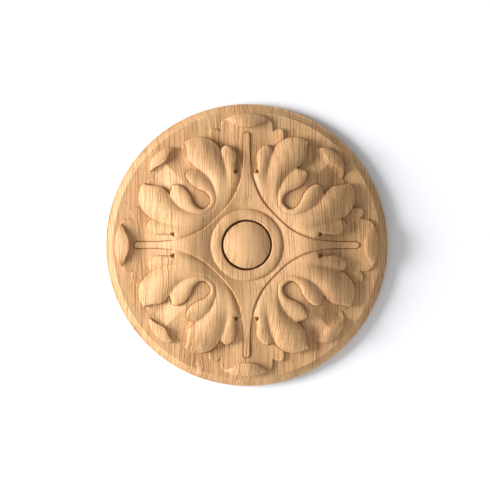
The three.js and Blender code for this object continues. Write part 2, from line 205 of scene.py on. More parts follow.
class CarvingSizes(bpy.types.PropertyGroup):
    """Heights of the carving. A rise is above the ground, and a fall or a depth is down from a form."""

    ground_height: length("Ground height", "From the back to the ground of the carving", 8.4)
    ground_fall: length("Ground fall", "How far the ground falls away towards the rim", 1)
    quirk_depth: length("Quirk depth", "Step from the ground down to the bevel", 0.5)
    quirk_width: length("Quirk width", "Width of that step", 0.2)
    bevel_width: length("Bevel width", "Width of the sloping rim", 3)
    bevel_fall: length("Bevel fall", "How far the rim slopes down", 2.1)
    rim_rounding: length("Rim rounding", "Radius of the rim's outer edge", 0.9)

    leaf_rise: length("Leaf rise", "Highest part of the leaves", 12)
    leaf_edge_rise: length("Leaf edge rise", "Leaves at the ends of their big lobes", 5.4)
    leaf_root_fall: length("Leaf root fall", "Fall of the leaves towards the ring", 4)
    first_valley: length("First valley", "Between the side lobe and the big lobe", 0.9)
    second_valley: length("Second valley", "Between the big lobe and the small lobe", 1.9)
    valley_root: length("Valley root", "Depth of the second valley where it begins", 0.1)
    side_lobe_sink: length("Side lobe sink", "How much lower the side lobe's tip lies", 2.7)
    lobe_edge_fall: length("Lobe edge fall", "From a lobe's crown to its free edge", 0.72)
    lobe_end_fall: length("Lobe end fall", "From a big lobe's crown to the outer edge of its end", 0.7)
    lobe_end_width: length("Lobe end width", "Width below which a big lobe's end grows flat", 9)
    leaf_eye_rise: length("Leaf eye rise", "Floor of the eye between the small lobes", 9.6)
    leaf_hollow_rise: length("Leaf hollow rise", "Hollow before the rolled tip", 3.2)
    leaf_fold: share("Leaf fold", "Slope of the two planes of the leaf's front", 0.37)
    leaf_crest_rise: length("Leaf crest rise", "Crest of the rolled tip", 4.8)
    leaf_crest_sag: length("Leaf crest sag", "Fall of that crest from its middle to its corners", 2.4)
    leaf_lip: length("Leaf lip", "Wall below that crest", 1.6)
    leaf_tip_rise: length("Leaf tip rise", "Outer edge of the rolled tip", 2.4)

    eye_depth: length("Drilled eye depth", "Depth of the drilled eye", 4)
    eye_slope: share("Drilled eye slope", "Rise of the eye's walls for each unit outwards", 4)
    eye_tail_step: length("Eye tail step", "How much shallower the eye's tail is", 1.2)
    eye_tail_width: length("Eye tail width", "Half the width of the tail's bottom", 0.2)
    foot_cut: length("Foot cut", "Depth of the cut along the foot of the lobes", 0.9)
    foot_cut_width: length("Foot cut width", "Width of that cut", 0.5)

    axis_valley_fall: length("Axis valley fall", "Depth of the wave across the leaf on the axis", 1.2)
    axis_crest_rise: length("Axis crest rise", "Crest of the tip on the axis", 5.5)
    axis_crest_sag: length("Axis crest sag", "Fall of that crest from its middle to its corners", 4.3)
    axis_lip: length("Axis lip", "Wall below that crest", 3.3)
    axis_tip_rise: length("Axis tip rise", "Outer edge of the tip on the axis", 2.8)
    cove_width: length("Cove width", "Hollow face that rises to a crest", 5.5)

    strap_rise: length("Strap rise", "Highest part of the strap", 11.9)
    strap_root_fall: length("Strap root fall", "Fall of the strap towards the ring", 2.4)
    strap_groove: length("Strap groove", "How far the leaf falls beside the strap", 2)
    strap_rounding: length("Strap rounding", "Radius of the strap's edges", 0.4)
    strap_slope: share("Strap slope", "Rise of the strap's walls for each unit outwards", 3)
    stem_rise: length("Stem rise", "End of a stem", 3)
    stem_width: length("Stem width", "Width of a stem", 3.2)
    stem_stand: length("Stem stand", "How far a stem stands out of the leaf beside it", 0.8)
    stem_groove: length("Stem groove", "Depth of the groove round a stem", 1.2)
    stem_groove_width: length("Stem groove width", "Width of the groove round a stem", 0.55)

    ring_radius: length("Ring radius", "Outside of the ring moulding", 18.8)
    ring_width: length("Ring width", "Width of the ring moulding", 5.4)
    ring_rise: length("Ring rise", "Top of the ring moulding", 10.8)
    ring_edge_fall: length("Ring edge fall", "Height of the ring's rounded outside", 1.1)
    ring_edge_share: share("Ring edge share", "Share of the ring's width that is rounded outside", 0.55)
    ring_inner_rounding: length("Ring inner rounding", "Rounding of the ring's inner edge", 0.6)
    button_groove_rise: length("Button groove rise", "Bottom of the groove round the button", 5)
    button_radius: length("Button radius", "Radius of the domed button", 12.3)
    button_rise: length("Button rise", "Top of the button", 13.6)
    button_edge_rise: length("Button edge rise", "Edge of the button's dome", 10.3)

    edge_rounding: length("Edge rounding", "Radius of the sanded edges", 0.45)
    wall_slope: share("Wall slope", "Rise of the cut walls for each unit outwards", 16)
    valley_softness: share("Valley softness", "Share of a lobe's half width that rounds its valley", 0.12)
    wobble: length("Wobble", "Unevenness left by sanding by hand", 0.05)
    wobble_reach: length("Wobble reach", "Distance between uneven places", 8)
    edge_spacing: length("Edge spacing", "Distance between points along the edges", 0.42)
    field_spacing: length("Field spacing", "Distance between points on open surfaces", 0.62)


class WoodFinish(bpy.types.PropertyGroup):
    """Colours and grain of the wood."""

    light: colour("Light wood", "Colour between the growth lines", (0.632, 0.393, 0.188))
    warm: colour("Warm wood", "Colour of the rosy bands", (0.64, 0.369, 0.186))
    dark: colour("Dark wood", "Colour of the growth lines", (0.29, 0.145, 0.054))
    knot: colour("Knot", "Colour of the knot's middle", (0.72, 0.43, 0.25))
    line_spacing: length("Line spacing", "Distance between the growth lines", 1.3)
    lean: share("Lean", "How far the growth layers slant for each unit of depth", 0.22)
    wander: length("Wander", "How far the grain wanders from side to side", 8)
    knot_reach: length("Knot reach", "How far a small knot turns the grain aside", 16)
    knot_radius: length("Knot radius", "Radius of the knot's middle", 1.6)
    knot_edge: length("Knot edge", "Radius where its rings begin", 2.4)
    ring_spacing: length("Ring spacing", "Distance between the rings round the knot", 1.3)
    roughness: share("Roughness", "Roughness of the sanded surface", 0.56)
    specular: share("Specular", "Strength of the surface's plain reflection", 0.25)


class StudioStage(bpy.types.PropertyGroup):
    """The wall, the light and the camera."""

    wall: colour("Wall", "Colour of the wall", (0.84, 0.855, 0.88))
    floor: colour("Floor", "Colour of the floor", (0.85, 0.85, 0.85))
    key_azimuth: angle("Key azimuth", "Way to the light, turned from the right through the top", 177.5)
    key_height: angle("Key height", "Angle of the light out of the wall", 24.5)
    key_distance: length("Key distance", "From the rosette to the light", 2500)
    key_size: length("Key size", "Diameter of the round light", 1400)
    key_power: share("Key power", "Power of the light in watts", 125)
    fill: share("Fill", "Strength of the light from all round", 0.42)
    camera_distance: length("Camera distance", "From the wall to the camera", 1600)
    rim_height: length("Rim height", "From the wall to the rim that the camera is set by", 5)


def spline(points, fineness=12):
    """A smooth curve through points that are given as shares of the radius."""
    places = np.array(points) * RADIUS
    padded = np.vstack([places[:1], places, places[-1:]])
    t = np.linspace(0, 1, fineness, endpoint=False)[:, None]
    curve = []
    for i in range(len(places) - 1):
        before, start, end, after = padded[i:i + 4]
        leaving, arriving = (end - before) / 2, (after - start) / 2
        cubic = 2 * (start - end) + leaving + arriving
        square = 3 * (end - start) - 2 * leaving - arriving
        curve.append(cubic * t ** 3 + square * t ** 2 + leaving * t + start)
    return np.vstack(curve + [places[-1:]])


def outline(points, fineness=12):
    """The curve of an outline. One that ends on the diagonal or starts on the axis runs square across it."""
    after = [(y, x) for x, y in points[-2::-1]] if points[-1][0] == points[-1][1] else []
    before = [(-x, y) for x, y in points[:0:-1]] if points[0][0] == 0 else []
    curve = spline(before + points + after, fineness)
    start = len(before) * fineness
    return curve[start:start + (len(points) - 1) * fineness + 1]


def across_diagonal(curve):
    """The curve and its mirror image beyond the diagonal, on which it ends."""
    return np.vstack([curve, curve[::-1, ::-1][1:]])


def across_axis(curve):
    """The curve and its mirror image beyond the upright axis, on which it starts."""
    return np.vstack([curve[::-1][:-1] * (-1, 1), curve])


def spaced(curve, spacing):
    """The curve's points again, at even steps close to the spacing."""
    run = np.concatenate([[0], np.cumsum(np.linalg.norm(np.diff(curve, axis=0), axis=1))])
    steps = np.linspace(0, run[-1], max(2, round(run[-1] / spacing) + 1))
    return np.column_stack([np.interp(steps, run, curve[:, 0]), np.interp(steps, run, curve[:, 1])])


def distance(places, curve):
    """The distance of each place from the nearest point of the curve."""
    start, run = curve[:-1], np.diff(curve, axis=0)
    offset = places[:, None, :] - start
    along = np.clip((offset * run).sum(2) / ((run ** 2).sum(1) + TINY ** 2), 0, 1)
    return np.linalg.norm(offset - along[..., None] * run, axis=2).min(1)


def within(places, loop):
    """Whether each place lies inside the closed loop."""
    x, y = places[:, 0, None], places[:, 1, None]
    (ax, ay), (bx, by) = loop.T, np.roll(loop, -1, axis=0).T
    rise = np.where(by == ay, TINY, by - ay)
    crossed = ((ay > y) != (by > y)) & (x < ax + (y - ay) * (bx - ax) / rise)
    return crossed.sum(1) % 2 == 1


def turned_aside(places):
    """Places measured across the diagonal and along it."""
    x, y = places.T
    return np.column_stack([(y - x) / math.sqrt(2), (x + y) / math.sqrt(2)])


def sorted_by_first(curve):
    """The curve's two coordinates, in the order of the first one."""
    order = np.argsort(curve[:, 0])
    return curve[order, 0], curve[order, 1]


def ramp(value, span, low, high):
    """Low before the span and high beyond it, with a smooth change between."""
    start, end = span
    t = np.clip((value - start) / (end - start), 0, 1)
    return low + (high - low) * t * t * (3 - 2 * t)


def circle_arc(radius, spacing):
    """An arc over the half leaf, from the upright axis to the diagonal."""
    steps = max(2, round(radius * math.pi / 4 / spacing))
    angles = np.linspace(math.pi / 2, math.pi / 4, steps + 1)
    return radius * np.column_stack([np.cos(angles), np.sin(angles)])


class Carving:
    """The height of the carving above its back at any place of the half leaf."""

    def __init__(self, sizes):
        self.sizes = sizes
        self.curves = {name: outline(points) for name, points in OUTLINES.items()}
        self.curves["strap_side"] = self.strap_side()

    def strap_side(self):
        """The strap's edge from the diagonal to the axis, round the end of its stem."""
        half = self.sizes.stem_width / 2
        middle = STEM_END * RADIUS - half
        edge = self.curves["strap_edge"][::-1]
        stem = [(half, y * RADIUS) for y in STEM_ROWS]
        angles = np.linspace(0, math.pi / 2, 9)
        end = np.column_stack([half * np.cos(angles), middle + half * np.sin(angles)])
        return np.vstack([edge, stem, end])

    def leaf_swell(self, share):
        """The crown of a leaf, which falls to its root and to its outer end."""
        s = self.sizes
        root = s.leaf_root_fall * ((LEAF_PEAK - share) / (LEAF_PEAK - LEAF_INNER)) ** 2
        out = (share - LEAF_PEAK) / (LEAF_OUTER - LEAF_PEAK)
        fall = (s.leaf_rise - s.leaf_edge_rise) * out ** 2
        return s.leaf_rise - np.where(share < LEAF_PEAK, root, fall)

    def strap_swell(self, share):
        """The top of the strap, which falls to the ring and to the ends of the stems."""
        s = self.sizes
        root = s.strap_root_fall * ((STRAP_PEAK - share) / (STRAP_PEAK - LEAF_INNER)) ** 2
        out = ramp(share, STRAP_SPAN, s.strap_rise, s.stem_rise)
        return np.where(share < STRAP_PEAK, s.strap_rise - root, out)

    def crown(self, across, crest, left_fall, right_fall):
        """How far a lobe has fallen from its crest, at a share of the way across it."""
        soft = self.sizes.valley_softness
        down = np.where(across < crest, (crest - across) / crest, (across - crest) / (1 - crest))
        fall = np.where(across < crest, left_fall, right_fall)
        flattened = soft * np.clip((down - 1 + soft) / soft, 0, 1) ** 2
        return fall * (down ** 2 - flattened) / (1 - soft)

    def standing(self, places, left, right, rise, free):
        """A form between two edges, with rounded free edges and sloping walls outside them."""
        s = self.sizes
        to_left, to_right = distance(places, left), distance(places, right)
        inside = within(places, np.vstack([left, right[::-1]]))
        edge = np.minimum(to_left, to_right)
        across = np.where(inside, to_left / (to_left + to_right + TINY), to_left > to_right)
        height = rise(np.hypot(*places.T) / RADIUS, across)
        to_free = np.min([distance(places, curve) for curve in free], axis=0)
        rounding = s.edge_rounding
        near = np.where(inside, np.clip(1 - to_free / rounding, 0, 1), to_free <= edge + TINY)
        height = height - rounding * (1 - np.sqrt(1 - near ** 2))
        return height - np.where(inside, 0, edge * s.wall_slope)

    def side_lobe(self, places):
        s, c = self.sizes, self.curves
        left = np.vstack([c["under_strap"], c["side_lobe_outer"][1:]])
        right = np.vstack([c["valley_one"], c["side_lobe_inner"][1:]])

        def rise(share, across):
            sink = ramp(share, SINK_SPAN, 0, s.side_lobe_sink)
            to_strap = ramp(share, STRAP_GROOVE_SPAN, s.strap_groove, s.lobe_edge_fall)
            valley = ramp(share, FIRST_VALLEY_SPAN, 0, s.first_valley)
            crest = ramp(share, SIDE_CREST_SPAN, SIDE_CREST_ROOT, SIDE_CREST_TIP)
            return self.leaf_swell(share) - sink - self.crown(across, crest, to_strap, valley)

        return self.standing(places, left, right, rise, [c["side_lobe_outer"], c["side_lobe_inner"]])

    def big_lobe(self, places):
        s, c = self.sizes, self.curves
        left = np.vstack([c["valley_one"], c["big_lobe_outer"][1:]])
        right = np.vstack([c["valley_two"], c["big_lobe_inner"][1:]])

        def rise(share, across):
            sink = ramp(share, SINK_SPAN, 0, s.side_lobe_sink)
            valley = sink + ramp(share, FIRST_VALLEY_SPAN, 0, s.first_valley)
            outward = ramp(share, LOBE_OUTER_SPAN, 1, 0) * valley
            outward = outward + ramp(share, LOBE_OUTER_SPAN, 0, s.lobe_end_fall)
            inward = ramp(share, SECOND_VALLEY_SPAN, s.valley_root, s.second_valley)
            inward = inward - ramp(share, LOBE_INNER_SPAN, 0, s.second_valley / 2)
            wide = np.clip((distance(places, left) + distance(places, right)) / s.lobe_end_width, 0, 1)
            return self.leaf_swell(share) - self.crown(across, BIG_CREST, outward, inward) * wide

        return self.standing(places, left, right, rise, [c["big_lobe_outer"], c["big_lobe_inner"]])

    def small_lobe(self, places):
        s, c = self.sizes, self.curves
        left = np.vstack([c["valley_two"], c["small_lobe_outer"][1:]])

        def rise(share, across):
            valley = ramp(share, SECOND_VALLEY_SPAN, s.valley_root, s.second_valley)
            return self.leaf_swell(share) - self.crown(across, SMALL_CREST, valley, s.lobe_edge_fall)

        free = [c["small_lobe_outer"], c["small_lobe_inner"]]
        return self.standing(places, left, c["small_lobe_inner"], rise, free)

    def leaf_front(self, places):
        """The leaf's front, folded along the diagonal, with a cove that rises to the crest of the tip."""
        s, c = self.sizes, self.curves
        outer = across_diagonal(np.vstack([c["leaflet"], c["tip_shoulder"][1:], c["tip_crest"][1:]]))
        inner = across_diagonal(c["leaf_eye"])
        crest = across_diagonal(c["tip_crest"])

        def rise(share, across):
            aside = np.abs(places[:, 0] - places[:, 1]) / math.sqrt(2) / RADIUS
            fold = ramp(share, FOLD_SPAN, 0, s.leaf_fold * RADIUS) * np.minimum(aside, FOLD_REACH)
            hollow = ramp(share, HOLLOW_SPAN, s.leaf_eye_rise, s.leaf_hollow_rise) - fold
            top = self.crest_height("tip", aside * RADIUS) - s.leaf_lip
            return self.coved(hollow, top, distance(places, crest))

        return self.standing(places, inner, outer, rise, [across_diagonal(c["leaflet"])])

    def coved(self, hollow, top, away):
        """A hollow that rises to the given height at a crest."""
        near = np.clip(1 - away / self.sizes.cove_width, 0, 1)
        return hollow + np.maximum(top - hollow, 0) * near ** 2

    def crest_height(self, name, aside):
        """The crest of a tip, which falls from its middle to its two corners."""
        s = self.sizes
        if name == "tip":
            rise, sag = s.leaf_crest_rise, s.leaf_crest_sag
            corner = (TIP_CORNER[1] - TIP_CORNER[0]) / math.sqrt(2)
        else:
            rise, sag = s.axis_crest_rise, s.axis_crest_sag
            corner = AXIS_CORNER[0]
        return rise - sag * np.minimum(aside / (corner * RADIUS), 1) ** 2

    def rolled(self, name, aside, ahead, edge_rise):
        """A rolled tip: level at its crest, and steeper towards its outer edge."""
        crest, outer = self.curves[name + "_crest"], self.curves[name + "_outer"]
        if name == "tip":
            crest, outer = turned_aside(crest), turned_aside(outer)
        from_crest = ahead - np.interp(aside, *sorted_by_first(crest))
        to_outer = np.interp(aside, *sorted_by_first(outer)) - ahead
        across = np.clip(from_crest / np.maximum(from_crest + to_outer, TINY), 0, 1)
        top = self.crest_height(name, aside)
        return top - np.maximum(top - edge_rise, 0) * across ** 2

    def leaf_tip(self, places):
        s, c = self.sizes, self.curves
        crest, outer = across_diagonal(c["tip_crest"]), across_diagonal(c["tip_outer"])
        aside, ahead = turned_aside(places).T
        height = self.rolled("tip", np.abs(aside), ahead, s.leaf_tip_rise)
        return self.standing(places, crest, outer, lambda share, across: height, [outer])

    def axis_leaf(self, places):
        """The leaf on the axis, with a wave across it and a groove round the stem."""
        s, c = self.sizes, self.curves
        outer = across_axis(np.vstack([c["axis_crest"], c["axis_side"][1:], c["axis_lobe"][1:]]))
        inner = across_axis(c["axis_root"])
        crest = across_axis(c["axis_crest"])

        def rise(share, across):
            aside = np.minimum(np.abs(places[:, 0]) / RADIUS, WAVE_REACH)
            wave = (1 - np.cos(math.pi * aside / AXIS_NOTCH[0])) / 2
            hollow = self.strap_swell(share) - s.stem_stand - s.axis_valley_fall * wave
            top = self.crest_height("axis", aside * RADIUS) - s.axis_lip
            floor = self.coved(hollow, top, distance(places, crest))
            beside_stem = distance(places, c["strap_side"])
            groove = s.stem_groove * np.clip(1 - beside_stem / s.stem_groove_width, 0, 1)
            return floor - groove * ramp(share, STEM_GROOVE_SPAN, 0, 1)

        free = [across_axis(np.vstack([c["axis_side"], c["axis_lobe"][1:]]))]
        return self.standing(places, inner, outer, rise, free)

    def axis_tip(self, places):
        s, c = self.sizes, self.curves
        crest, outer = across_axis(c["axis_crest"]), across_axis(c["axis_outer"])
        height = self.rolled("axis", np.abs(places[:, 0]), places[:, 1], s.axis_tip_rise)
        return self.standing(places, crest, outer, lambda share, across: height, [outer])

    def strap(self, places):
        s = self.sizes
        side = self.curves["strap_side"]
        half = np.vstack([np.array(STRAP_ROOT) * RADIUS, side])
        loop = np.vstack([half, half[::-1] * (-1, 1)])
        inside = within(places, loop)
        edge = distance(places, np.vstack([side, side[::-1] * (-1, 1)]))
        near = np.where(inside, np.clip(1 - edge / s.strap_rounding, 0, 1), 1)
        share = np.hypot(*places.T) / RADIUS
        height = self.strap_swell(share) - s.strap_rounding * (1 - np.sqrt(1 - near ** 2))
        slope = ramp(share, STRAP_WALL_SPAN, s.strap_slope, s.wall_slope)
        return height - np.where(inside, 0, edge * slope)

    def ground(self, places):
        """The ground, the quirk, the bevel and the rounded rim, as rises above the ground."""
        s = self.sizes
        bevel_outer = RADIUS - s.rim_rounding
        bevel_inner = bevel_outer - s.bevel_width
        foot = bevel_inner + s.quirk_width
        angles = np.linspace(RIM_START, math.pi / 2, 6)
        rim = bevel_outer + s.rim_rounding * np.sin(angles)
        drop = s.quirk_depth + s.bevel_fall + s.rim_rounding * (np.cos(angles[0]) - np.cos(angles))
        reach = np.concatenate([[0, bevel_inner, foot, bevel_outer], rim[1:]])
        fall = np.concatenate([[0, 0, s.quirk_depth, s.quirk_depth + s.bevel_fall], drop[1:]])
        share = np.hypot(*places.T) / RADIUS
        out = np.clip((share - GROUND_PEAK) / (bevel_inner / RADIUS - GROUND_PEAK), 0, 1)
        return -s.ground_fall * out ** 2 - np.interp(share * RADIUS, reach, fall)

    def boss(self, reach):
        """The ring moulding and the button, as rises at a distance from the middle."""
        s = self.sizes
        steep = 2 * s.wall_slope
        cap = s.button_rise - s.button_edge_rise
        bend = (s.button_radius ** 2 + cap ** 2) / (2 * cap)
        dome = s.button_rise - bend + np.sqrt(bend ** 2 - np.minimum(reach, s.button_radius) ** 2)
        button = dome - np.maximum(reach - s.button_radius, 0) * steep
        inner = s.ring_radius - s.ring_width
        rounded = s.ring_edge_share * s.ring_width
        outside = np.clip((reach - s.ring_radius + rounded) / rounded, 0, 1)
        inside = np.clip(1 - (reach - inner) / s.ring_inner_rounding, 0, 1)
        ring = s.ring_rise - s.ring_edge_fall * (1 - np.sqrt(1 - outside ** 2))
        ring = ring - s.ring_inner_rounding * (1 - np.sqrt(1 - inside ** 2))
        ring = ring - np.maximum(inner - reach, 0) * steep
        ring = ring - np.maximum(reach - s.ring_radius, 0) * s.wall_slope
        middle = np.maximum(np.maximum(button, ring), s.button_groove_rise)
        return np.where(reach < s.ring_radius, middle, ring)

    def drilled(self, places, carved):
        """The carving with the drilled eye and the eye's tail cut into it."""
        s = self.sizes
        bottom = self.leaf_swell(DRILLED_EYE[0][1]) - s.eye_depth
        eye = np.array(DRILLED_EYE) * RADIUS
        from_eye = np.where(within(places, eye[:-1]), 0, distance(places, eye))
        carved = np.minimum(carved, bottom + from_eye * s.eye_slope)
        from_tail = distance(places, np.array(EYE_TAIL) * RADIUS)
        beside_tail = np.maximum(0, from_tail - s.eye_tail_width) * s.eye_slope
        return np.minimum(carved, bottom + s.eye_tail_step + beside_tail)

    def height(self, places):
        """The height above the back: the highest form at each place, less what is cut away."""
        s = self.sizes
        mirrored = places[:, ::-1]
        low_forms = (self.ground, self.leaf_front, self.leaf_tip, self.axis_leaf, self.axis_tip)
        low = np.max([form(places) for form in low_forms], axis=0)
        edges = [self.curves[name] for name in LOBE_EDGES]
        foot = np.min([distance(side, edge) for edge in edges for side in (places, mirrored)], axis=0)
        forms = [low - s.foot_cut * np.clip(1 - foot / s.foot_cut_width, 0, 1)]
        for form in (self.side_lobe, self.big_lobe, self.small_lobe, self.strap):
            forms += [form(places), form(mirrored)]
        carved = self.drilled(places, np.max(forms, axis=0))
        reach = np.hypot(*places.T)
        boss = self.boss(reach)
        return s.ground_height + np.where(reach < s.ring_radius, boss, np.maximum(carved, boss))


class Points:
    """Places for the mesh, kept apart from one another. Those given first come first."""

    def __init__(self, cell):
        self.cell = cell
        self.places = []
        self.grid = {}

    def near(self, place):
        column, row = int(place[0] // self.cell), int(place[1] // self.cell)
        for i in (column - 1, column, column + 1):
            for j in (row - 1, row, row + 1):
                yield from self.grid.get((i, j), ())

    def add(self, places, gap):
        for x, y in places:
            if all(math.hypot(x - u, y - v) >= gap for u, v in self.near((x, y))):
                self.places.append((x, y))
                cell = (int(x // self.cell), int(y // self.cell))
                self.grid.setdefault(cell, []).append((x, y))


def onto_sides(places, snap):
    """Places inside the half leaf, with those close to its two straight sides moved onto them."""
    x, y = places[:, 0].copy(), places[:, 1].copy()
    x[np.abs(x) < snap] = 0
    diagonal = np.abs(x - y) / math.sqrt(2) < snap
    x[diagonal] = y[diagonal] = (x[diagonal] + y[diagonal]) / 2
    kept = (x >= 0) & (x <= y) & (np.hypot(x, y) <= RADIUS + TINY)
    return np.column_stack([x, y])[kept]


def beside(curve, gap, features):
    """A row of places beside a curve, without those that come close to another curve."""
    run = np.gradient(curve, axis=0)
    normal = np.column_stack([-run[:, 1], run[:, 0]]) / (np.linalg.norm(run, axis=1)[:, None] + TINY)
    row = curve + normal * gap
    clear = np.min([distance(row, other) for other in features], axis=0) > ROW_CLEARANCE * abs(gap)
    return row[clear]


def round_edges(s):
    """The radii at which the rim, the ring and the button bend."""
    bevel_outer = RADIUS - s.rim_rounding
    bevel_inner = bevel_outer - s.bevel_width
    inner = s.ring_radius - s.ring_width
    radii = [RADIUS, bevel_outer, bevel_inner, bevel_inner + s.quirk_width]
    radii += [RADIUS - s.rim_rounding * part for part in RIM_ARCS]
    radii += [s.button_radius, s.button_radius + BUTTON_WALL, inner, inner - RING_WALL]
    radii += [s.ring_radius, s.ring_radius + RING_WALL]
    radii += [inner + s.ring_inner_rounding * part for part in RING_INNER_ARCS]
    radii += [s.ring_radius - s.ring_width * part for part in RING_OUTER_ARCS]
    return radii


def field_row(s, row, y):
    """One row of the open field's places, clear of the half leaf's sides and of the rim."""
    x = np.arange((row % 2) * s.field_spacing / 2, y, s.field_spacing)
    places = np.column_stack([x, np.full(len(x), y)])
    from_axis, from_diagonal, from_rim = x, y - x, RADIUS - np.hypot(x, y)
    clear = (from_axis > s.field_spacing * 0.4) & (from_diagonal > s.field_spacing * 0.6)
    return places[clear & (from_rim > s.field_spacing * 0.4)]


def half_leaf_places(carving):
    """The places of the half leaf's mesh: its edges, rows beside them, and a fine field between."""
    s = carving.sizes
    curves = [curve for name, curve in carving.curves.items() if name not in CONSTRUCTION_LINES]
    curves += [curve[:, ::-1] for curve in curves]
    curves += [np.array(DRILLED_EYE) * RADIUS]
    points = Points(s.field_spacing)
    arc_spacing, arc_gap = s.edge_spacing * 1.4, s.edge_spacing * 0.25
    for radius in round_edges(s):
        points.add(onto_sides(circle_arc(radius, arc_spacing), TINY), arc_gap)
    features = [spaced(curve, s.edge_spacing) for curve in curves]
    for curve in features:
        points.add(onto_sides(curve, ONTO_SIDES), s.edge_spacing * 0.3)
    for gap in ROW_GAPS:
        for side in (gap, -gap):
            for curve in features:
                points.add(onto_sides(beside(curve, side, features), ONTO_SIDES), ROW_SPACING)
    side_spacing, side_gap = s.field_spacing * 0.8, s.field_spacing * 0.5
    steps = np.arange(0, RADIUS, side_spacing)
    points.add(np.column_stack([0 * steps, steps]), side_gap)
    points.add(np.column_stack([steps, steps]) / math.sqrt(2), side_gap)
    for row, y in enumerate(np.arange(0, RADIUS, s.field_spacing * math.sqrt(0.75))):
        points.add(field_row(s, row, y), s.field_spacing * 0.66)
    return points.places


def half_leaf(carving):
    """A mesh of the carved surface between the upright axis and the diagonal."""
    places = half_leaf_places(carving)
    flat, _, faces, *_ = delaunay_2d_cdt([Vector(place) for place in places], [], [], 0, TINY)
    flat = np.array([tuple(place) for place in flat])
    heights = carving.height(flat)
    mesh = bpy.data.meshes.new("rosette_carving")
    mesh.from_pydata([(x, -height, y) for (x, y), height in zip(flat, heights)], [], faces)
    piece = bpy.data.objects.new("rosette_carving", mesh)
    bpy.context.collection.objects.link(piece)
    return piece


def deselect():
    """Leaves nothing selected."""
    bpy.ops.object.select_all(action="DESELECT")


def activate(piece):
    """Leaves this piece alone selected and active."""
    deselect()
    piece.select_set(True)
    bpy.context.view_layer.objects.active = piece


def mirror_to_whole(piece):
    """The half leaf, mirrored across the diagonal and then across both axes."""
    deselect()
    bpy.ops.object.empty_add(rotation=(0, math.pi / 4, 0))
    diagonal = bpy.context.object
    activate(piece)
    for mirror_object, axes in ((diagonal, (True, False, False)), (None, (True, False, True))):
        bpy.ops.object.modifier_add(type="MIRROR")
        mirror = piece.modifiers[-1]
        mirror.mirror_object = mirror_object
        mirror.use_axis = axes
        mirror.merge_threshold = MERGED
        bpy.ops.object.modifier_apply(modifier=mirror.name)
    bpy.data.objects.remove(diagonal)


def close_back(piece, chamfer):
    """The edge of the disc drawn back to the wall, and the flat back."""
    activate(piece)
    bpy.ops.object.mode_set(mode="EDIT")
    bpy.ops.mesh.select_mode(type="EDGE")
    bpy.ops.mesh.select_all(action="DESELECT")
    bpy.ops.mesh.select_non_manifold(
        use_wire=False, use_multi_face=False, use_non_contiguous=False, use_verts=False
    )
    bpy.ops.object.mode_set(mode="OBJECT")
    rim = max(-vertex.co.y for vertex in piece.data.vertices if vertex.select)
    bpy.ops.object.mode_set(mode="EDIT")
    rows = 3
    for _ in range(rows):
        bpy.ops.mesh.extrude_region_move(TRANSFORM_OT_translate={"value": (0, (rim - chamfer) / rows, 0)})
    bpy.ops.mesh.extrude_region_move(TRANSFORM_OT_translate={"value": (0, chamfer, 0)})
    narrower = 1 - chamfer / RADIUS
    bpy.ops.transform.resize(value=(narrower, 1, narrower), center_override=(0, 0, 0))
    bpy.ops.mesh.edge_face_add()
    bpy.ops.mesh.select_all(action="SELECT")
    bpy.ops.mesh.normals_make_consistent(inside=False)
    bpy.ops.object.mode_set(mode="OBJECT")


def uneven(piece, sizes):
    """The slight unevenness of a surface sanded by hand."""
    for vertex in piece.data.vertices:
        if vertex.co.y < -sizes.rim_rounding * 2:
            x, _, z = vertex.co / sizes.wobble_reach
            vertex.co.y += sizes.wobble * noise.noise(Vector((x, z, 0)))


def node(tree, kind, **values):
    """A new node, with its inputs or its settings given by name."""
    made = tree.nodes.new(kind)
    for name, value in values.items():
        if name in made.inputs:
            made.inputs[name].default_value = value
        else:
            setattr(made, name, value)
    return made


def stretched_noise(tree, vector, size, detail):
    """Noise whose grains have the given size along each axis, in metres."""
    mapping = node(tree, "ShaderNodeMapping")
    mapping.inputs["Scale"].default_value = [1 / extent for extent in size]
    tree.links.new(vector, mapping.inputs["Vector"])
    grains = node(tree, "ShaderNodeTexNoise", Scale=1.0, Detail=detail, Roughness=0.55)
    tree.links.new(mapping.outputs["Vector"], grains.inputs["Vector"])
    return grains.outputs["Fac"]


def mapped(tree, value, low, high, to_low=0.0, to_high=1.0):
    """The value, moved from one range into another and kept within it."""
    ranged = node(tree, "ShaderNodeMapRange")
    ranged.inputs["From Min"].default_value = low
    ranged.inputs["From Max"].default_value = high
    ranged.inputs["To Min"].default_value = to_low
    ranged.inputs["To Max"].default_value = to_high
    tree.links.new(value, ranged.inputs["Value"])
    return ranged.outputs["Result"]


def combined(tree, operation, first, second):
    """Two values, each a number or another node's result, joined by the operation."""
    made = node(tree, "ShaderNodeMath", operation=operation)
    for socket, value in zip(made.inputs, (first, second)):
        if isinstance(value, float):
            socket.default_value = value
        else:
            tree.links.new(value, socket)
    return made.outputs["Value"]


def mixed(tree, factor, first, second):
    """A colour between two others."""
    made = node(tree, "ShaderNodeMix", data_type="RGBA")
    sockets = (made.inputs["Factor"], made.inputs[6], made.inputs[7])
    for socket, value in zip(sockets, (factor, first, second)):
        if isinstance(value, bpy.types.NodeSocket):
            tree.links.new(value, socket)
        else:
            socket.default_value = (*value, 1)
    return made.outputs[2]


def parted(tree, vector):
    """The three parts of a place."""
    parts = node(tree, "ShaderNodeSeparateXYZ")
    tree.links.new(vector, parts.inputs["Vector"])
    return parts.outputs


def joined(tree, **values):
    """A place from its parts. A part that isn't given is 0."""
    made = node(tree, "ShaderNodeCombineXYZ")
    for name, value in values.items():
        tree.links.new(value, made.inputs[name])
    return made.outputs["Vector"]


